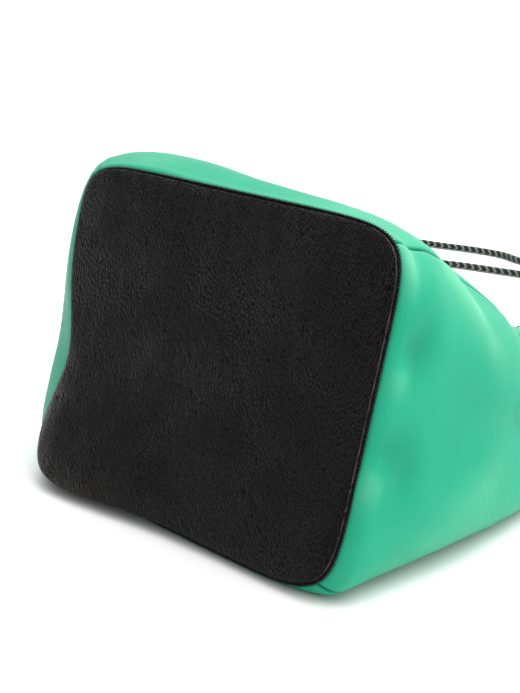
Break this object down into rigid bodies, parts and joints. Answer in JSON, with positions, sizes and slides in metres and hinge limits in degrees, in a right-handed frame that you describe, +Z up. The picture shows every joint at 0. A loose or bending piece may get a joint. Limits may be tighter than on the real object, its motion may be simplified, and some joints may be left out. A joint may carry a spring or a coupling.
{
  "type": "bucket bag",
  "caption": "Soft leather bucket bag lying on its side, with a near-square pebbled base, four body panels, a gathered drawstring mouth and a braided shoulder cord.",
  "frame": {"origin": "on the floor, below the middle of the bag's bounding box, shoulder cord left out", "axes": "+Y from the base towards the mouth as the bag lies on its side, +X to the right seen from the base, +Z up"},
  "size_m": [0.5593, 0.6773, 0.1954],
  "materials": {
    "green_leather": "smooth semi-matt nappa",
    "base_leather": "pebbled, semi-gloss",
    "lock_leather": "pebbled, semi-gloss",
    "board": "matt",
    "lining_cloth": "woven, matt",
    "eyelet_metal": "dark gunmetal, polished",
    "braided_cord": "braided, with grey-green flecks"
  },
  "bodies": {
    "bag": {"base_panel": "base_leather", "base_board": "board", "lining": "lining_cloth", "bottom_panel": "green_leather", "top_panel": "green_leather", "right_panel": "green_leather", "left_panel": "green_leather", "mouth_facing": "green_leather", "draw_eyelet_1": "eyelet_metal", "draw_eyelet_2": "eyelet_metal", "draw_eyelet_3": "eyelet_metal", "draw_eyelet_4": "eyelet_metal", "draw_eyelet_5": "eyelet_metal", "draw_eyelet_6": "eyelet_metal", "draw_eyelet_7": "eyelet_metal", "draw_eyelet_8": "eyelet_metal", "strap_eyelet_right": "eyelet_metal", "strap_eyelet_left": "eyelet_metal", "draw_cord": "braided_cord", "draw_knot_left": "braided_cord", "draw_knot_right": "braided_cord", "shoulder_cord": "braided_cord", "strap_knot_left": "braided_cord", "strap_knot_right": "braided_cord"},
    "cord_lock": {"cord_lock": "lock_leather"}
  },
  "joints": [
    {"name": "cord_lock_slide", "type": "slide", "parent": "bag", "child": "cord_lock", "axis": [0, -0.8387, 0.5446], "range_m": [0, 0.025]}
  ]
}
